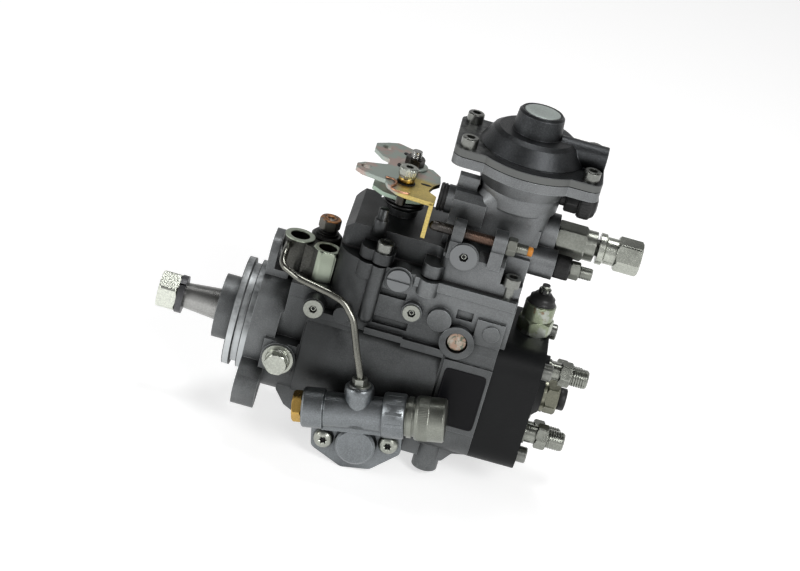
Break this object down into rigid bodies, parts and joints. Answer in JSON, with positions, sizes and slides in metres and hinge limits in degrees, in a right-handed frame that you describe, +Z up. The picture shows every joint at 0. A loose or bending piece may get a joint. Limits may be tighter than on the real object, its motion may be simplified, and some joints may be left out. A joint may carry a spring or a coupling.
{
  "type": "diesel injection pump",
  "caption": "Distributor-type diesel injection pump with flange, tapered shaft, head with outlets, control lever and boost compensator",
  "frame": {"origin": "centre of the mounting flange's face, on the drive shaft's axis", "axes": "+X along the shaft from the drive end to the distributor head, +Z up to the governor cover, +Y away from the side with the cold-start device"},
  "size_m": [0.2761, 0.1269, 0.2377],
  "materials": {
    "pump_housing": "as-cast, grey",
    "shaft_seal": "smooth",
    "shaft_bush": "turned",
    "supply_pump_ring": "ground",
    "timing_cover": "as-cast",
    "timing_cover_rear": "as-cast",
    "timing_cover_screws": "zinc plated",
    "brass_plug": "turned",
    "pressure_pipe": "zinc plated",
    "pipe_fittings": "phosphated",
    "cold_start_cap": "turned",
    "inlet_block": "zinc plated, yellow-green",
    "inlet_union": "zinc plated",
    "lock_screw": "zinc plated",
    "side_plugs": "zinc plated",
    "tamper_cap": "dark",
    "distributor_head": "black, satin",
    "distributor_barrel": "ground",
    "delivery_holders": "phosphated",
    "delivery_valves": "ground",
    "central_plug": "zinc plated",
    "shutoff_solenoid": "zinc plated",
    "solenoid_terminal": "matte",
    "solenoid_armature": "turned",
    "governor_cover": "as-cast, grey",
    "cover_gasket": "flat",
    "boost_cover": "dark grey, cast",
    "boost_diaphragm": "fabric reinforced",
    "boost_pin": "ground",
    "boost_spring": "spring wire",
    "socket_screws": "zinc plated",
    "overflow_valve": "zinc plated",
    "overflow_nut": "zinc plated",
    "full_load_screw": "zinc plated, yellow",
    "full_load_sleeve": "zinc plated",
    "stop_screw": "zinc plated",
    "breather_elbow": "moulded",
    "spring_plug": "knurled",
    "governor_shaft": "ground",
    "drive_shaft": "ground and turned",
    "shaft_nut": "zinc plated",
    "spring_washer": "spring steel",
    "vane_rotor": "ground",
    "drive_gear": "hobbed",
    "cam_plate": "hardened, ground",
    "plunger": "lapped",
    "governor_gear": "hobbed",
    "flyweight_1": "sintered",
    "flyweight_2": "sintered",
    "flyweight_3": "sintered",
    "flyweight_4": "sintered",
    "governor_sleeve": "ground",
    "governor_lever": "pressed sheet",
    "control_sleeve": "lapped",
    "roller_ring": "ground",
    "timing_piston": "anodised",
    "control_shaft": "turned",
    "control_lever": "zinc plated, yellow",
    "lever_fasteners": "zinc plated",
    "return_spring": "black spring wire"
  },
  "bodies": {
    "housing": {"pump_housing": "pump_housing", "shaft_seal": "shaft_seal", "shaft_bush": "shaft_bush", "supply_pump_ring": "supply_pump_ring", "timing_cover": "timing_cover", "timing_cover_rear": "timing_cover_rear", "timing_cover_screws": "timing_cover_screws", "brass_plug": "brass_plug", "pressure_pipe": "pressure_pipe", "pipe_fittings": "pipe_fittings", "cold_start_cap": "cold_start_cap", "inlet_block": "inlet_block", "inlet_union": "inlet_union", "lock_screw": "lock_screw", "side_plugs": "side_plugs", "tamper_cap": "tamper_cap", "distributor_head": "distributor_head", "distributor_barrel": "distributor_barrel", "socket_screws": "socket_screws", "delivery_holders": "delivery_holders", "central_plug": "central_plug", "shutoff_solenoid": "shutoff_solenoid", "solenoid_terminal": "solenoid_terminal", "governor_cover": "governor_cover", "cover_gasket": "cover_gasket", "overflow_valve": "overflow_valve", "overflow_nut": "overflow_nut", "full_load_screw": "full_load_screw", "full_load_sleeve": "full_load_sleeve", "stop_screw": "stop_screw", "boost_cover": "boost_cover", "boost_diaphragm": "boost_diaphragm", "boost_spring": "boost_spring", "breather_elbow": "breather_elbow", "spring_plug": "spring_plug", "governor_shaft": "governor_shaft"},
    "shaft": {"drive_shaft": "drive_shaft", "shaft_nut": "shaft_nut", "spring_washer": "spring_washer", "vane_rotor": "vane_rotor", "drive_gear": "drive_gear", "cam_plate": "cam_plate", "plunger": "plunger"},
    "governor_rotor": {"governor_gear": "governor_gear"},
    "weight_1": {"flyweight_1": "flyweight_1"},
    "weight_2": {"flyweight_2": "flyweight_2"},
    "weight_3": {"flyweight_3": "flyweight_3"},
    "weight_4": {"flyweight_4": "flyweight_4"},
    "sleeve": {"governor_sleeve": "governor_sleeve"},
    "lever": {"governor_lever": "governor_lever"},
    "spill_ring": {"control_sleeve": "control_sleeve"},
    "rollers": {"roller_ring": "roller_ring"},
    "timing": {"timing_piston": "timing_piston"},
    "control": {"control_shaft": "control_shaft", "control_lever": "control_lever", "lever_fasteners": "lever_fasteners", "return_spring": "return_spring"},
    "boost": {"boost_pin": "boost_pin"},
    "armature": {"solenoid_armature": "solenoid_armature"},
    "valves": {"delivery_valves": "delivery_valves"}
  },
  "joints": [
    {"name": "shaft_turn", "type": "hinge", "parent": "housing", "child": "shaft", "pos_m": [0, 0, 0], "axis": [1, 0, 0], "continuous": true},
    {"name": "governor_turn", "type": "hinge", "parent": "housing", "child": "governor_rotor", "pos_m": [0.05, 0, 0.045], "axis": [1, 0, 0], "continuous": true},
    {"name": "flyweight_swing_1", "type": "hinge", "parent": "governor_rotor", "child": "weight_1", "pos_m": [0.058, 0, 0.063], "axis": [0, -1, 0], "range_deg": [0, 14.32]},
    {"name": "flyweight_swing_2", "type": "hinge", "parent": "governor_rotor", "child": "weight_2", "pos_m": [0.058, -0.018, 0.045], "axis": [0, 0, -1], "range_deg": [0, 14.32]},
    {"name": "flyweight_swing_3", "type": "hinge", "parent": "governor_rotor", "child": "weight_3", "pos_m": [0.058, 0, 0.027], "axis": [0, 1, 0], "range_deg": [0, 14.32]},
    {"name": "flyweight_swing_4", "type": "hinge", "parent": "governor_rotor", "child": "weight_4", "pos_m": [0.058, 0.018, 0.045], "axis": [0, 0, 1], "range_deg": [0, 14.32]},
    {"name": "sleeve_slide", "type": "slide", "parent": "housing", "child": "sleeve", "axis": [1, 0, 0], "range_m": [0, 0.003]},
    {"name": "lever_tilt", "type": "hinge", "parent": "housing", "child": "lever", "pos_m": [0.113, 0, 0.029], "axis": [0, 1, 0], "range_deg": [0, 10.74]},
    {"name": "spill_slide", "type": "slide", "parent": "housing", "child": "spill_ring", "axis": [-1, 0, 0], "range_m": [0, 0.00379]},
    {"name": "timing_slide", "type": "slide", "parent": "housing", "child": "timing", "axis": [0, 1, 0], "range_m": [0, 0.005]},
    {"name": "roller_ring_turn", "type": "hinge", "parent": "housing", "child": "rollers", "pos_m": [0.08, 0, 0], "axis": [1, 0, 0], "range_deg": [0, 6.82]},
    {"name": "control_turn", "type": "hinge", "parent": "housing", "child": "control", "pos_m": [0.0694, 0.01, 0.1], "axis": [0, 0, -1], "range_deg": [0, 45]},
    {"name": "boost_slide", "type": "slide", "parent": "housing", "child": "boost", "axis": [0, 0, -1], "range_m": [0, 0.005], "deforming": ["boost_diaphragm", "boost_spring"]},
    {"name": "solenoid_slide", "type": "slide", "parent": "housing", "child": "armature", "axis": [0, 0, 1], "range_m": [0, 0.0015]},
    {"name": "valve_slide", "type": "slide", "parent": "housing", "child": "valves", "axis": [1, 0, 0], "range_m": [0, 0.0015]}
  ],
  "couplings": [
    {"joint": "governor_turn", "follows": "shaft_turn", "ratio": -1.6087},
    {"joint": "flyweight_swing_1", "follows": "sleeve_slide", "rad_per_m": 83.333},
    {"joint": "flyweight_swing_2", "follows": "sleeve_slide", "rad_per_m": 83.333},
    {"joint": "flyweight_swing_3", "follows": "sleeve_slide", "rad_per_m": 83.333},
    {"joint": "flyweight_swing_4", "follows": "sleeve_slide", "rad_per_m": 83.333},
    {"joint": "lever_tilt", "follows": "sleeve_slide", "rad_per_m": 62.5},
    {"joint": "spill_slide", "follows": "sleeve_slide", "ratio": 1.2625},
    {"joint": "roller_ring_turn", "follows": "timing_slide", "rad_per_m": 23.81}
  ]
}
